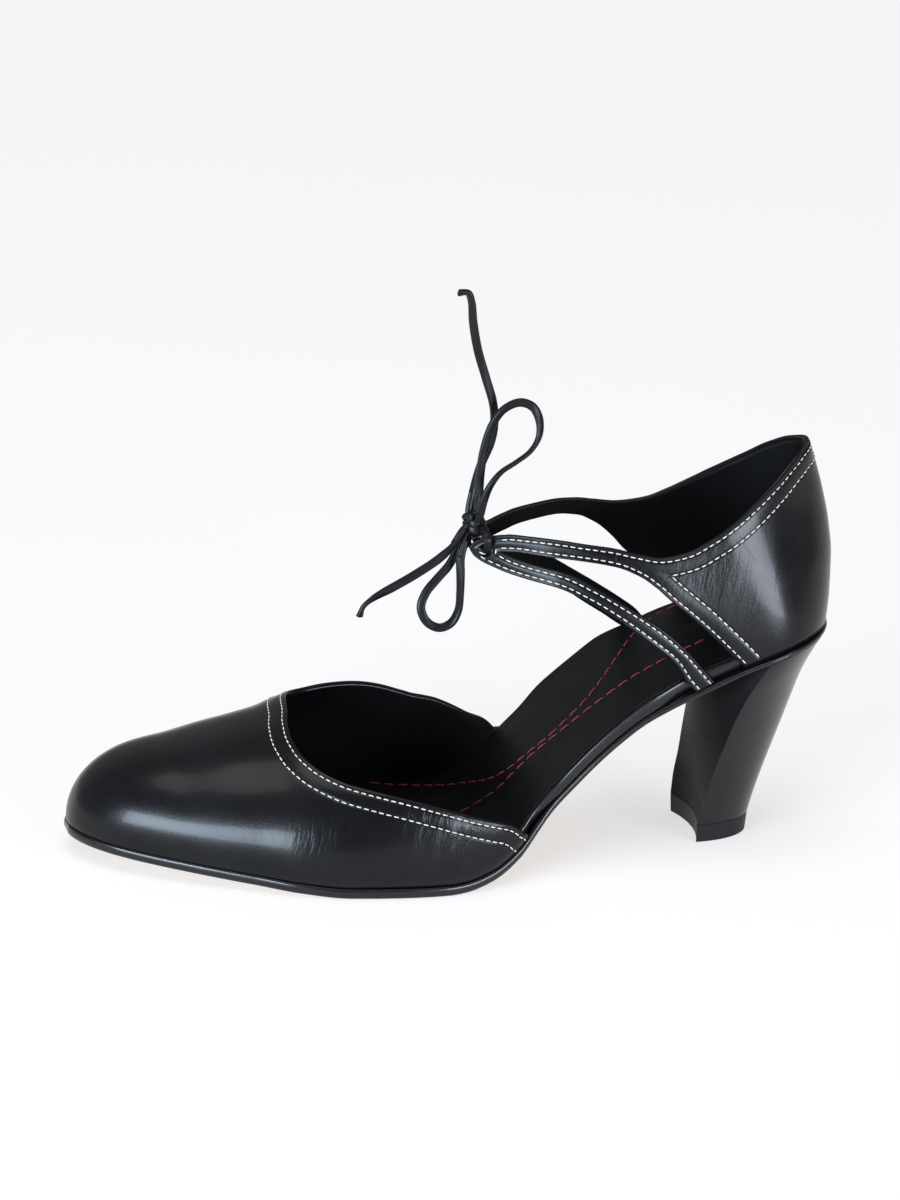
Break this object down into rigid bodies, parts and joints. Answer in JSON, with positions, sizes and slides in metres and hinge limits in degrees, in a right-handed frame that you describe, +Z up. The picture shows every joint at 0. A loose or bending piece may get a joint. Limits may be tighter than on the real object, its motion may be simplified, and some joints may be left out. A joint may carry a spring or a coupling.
{
  "type": "lace up court shoe with block heel",
  "caption": "Left lace up court shoe in smooth black leather: closed square toe, open waist, high counter, split straps tied by a thong over the instep, covered block heel.",
  "frame": {"origin": "on the floor, under the middle of the shoe's bounding box without its free lace", "axes": "+X from heel to toe, +Y to the wearer's left, which is the outer side of this left shoe, +Z up"},
  "size_m": [0.234, 0.0852, 0.1757],
  "materials": {
    "upper_leather": "smooth black calf, semi-gloss",
    "heel_leather": "black leather cover, semi-gloss, with fine level creases",
    "sole_leather": "tan leather underneath, black glossy edge",
    "insole_cover": "black lining leather on top, glossy black band along the open waist",
    "top_piece": "matt black",
    "thong": "narrow black leather thong, semi-matt"
  },
  "bodies": {
    "root": {"outsole": "sole_leather", "insole": "insole_cover", "vamp": "upper_leather", "quarter": "upper_leather", "heel": "heel_leather", "heel_top_piece": "top_piece", "lace_crossing": "thong", "lace_knot": "thong", "lace_end_upper": "thong", "lace_loop_upper": "thong", "lace_end_front": "thong", "lace_loop_lower": "thong"}
  },
  "joints": []
}
